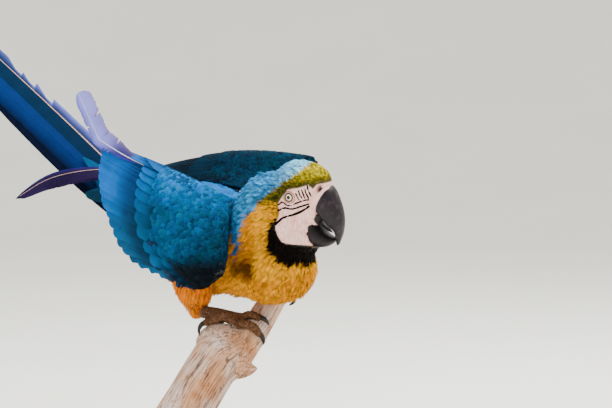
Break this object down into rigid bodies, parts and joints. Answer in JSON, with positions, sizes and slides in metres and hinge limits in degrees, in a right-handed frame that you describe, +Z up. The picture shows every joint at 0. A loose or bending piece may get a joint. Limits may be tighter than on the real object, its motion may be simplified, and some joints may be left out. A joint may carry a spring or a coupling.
{
  "type": "blue-and-yellow macaw display model",
  "caption": "Still, life-size blue-and-yellow macaw leaning forward with drooped wings on a short cut branch, held over a flat round base by short rods.",
  "frame": {"origin": "centre of the stand base's flat underside", "axes": "+X is the way the bird's body faces, +Y its left, +Z up"},
  "size_m": [0.6873, 0.3, 0.544],
  "materials": {
    "plumage": "soft contour feathers, yellow to orange below and blue above",
    "head_plumage": "small feathers with bare white face skin and black lines",
    "wing_coverts": "overlapping blue feathers",
    "flight_feathers": "stiff blue and violet vanes",
    "tail_feathers": "long deep blue vanes, yellowish below",
    "eye": "glossy, pale iris",
    "horn": "satin black horn",
    "tongue": "smooth, damp",
    "scaly_skin": "grey-brown scales",
    "bleached_wood": "bare, cracked, weathered",
    "stand_paint": "plain, painted satin black",
    "stand_rod": "brushed"
  },
  "bodies": {
    "root": {"trunk": "plumage", "neck": "plumage", "head": "head_plumage", "eye_right": "eye", "eye_left": "eye", "bill_upper": "horn", "bill_lower": "horn", "tongue": "tongue", "wing_right_arm": "wing_coverts", "wing_left_arm": "wing_coverts", "wing_right_secondaries": "flight_feathers", "wing_left_secondaries": "flight_feathers", "wing_right_primaries": "flight_feathers", "wing_left_primaries": "flight_feathers", "wing_right_bent_feather": "flight_feathers", "tail_middle": "tail_feathers", "tail_right": "tail_feathers", "tail_left": "tail_feathers", "thigh_right": "plumage", "thigh_left": "plumage", "foot_right": "scaly_skin", "foot_left": "scaly_skin", "claw_right_1": "horn", "claw_right_2": "horn", "claw_right_3": "horn", "claw_right_4": "horn", "claw_left_1": "horn", "claw_left_2": "horn", "claw_left_3": "horn", "claw_left_4": "horn", "perch_branch": "bleached_wood", "stand_base": "stand_paint", "stand_rod_1": "stand_rod", "stand_rod_2": "stand_rod"}
  },
  "joints": []
}
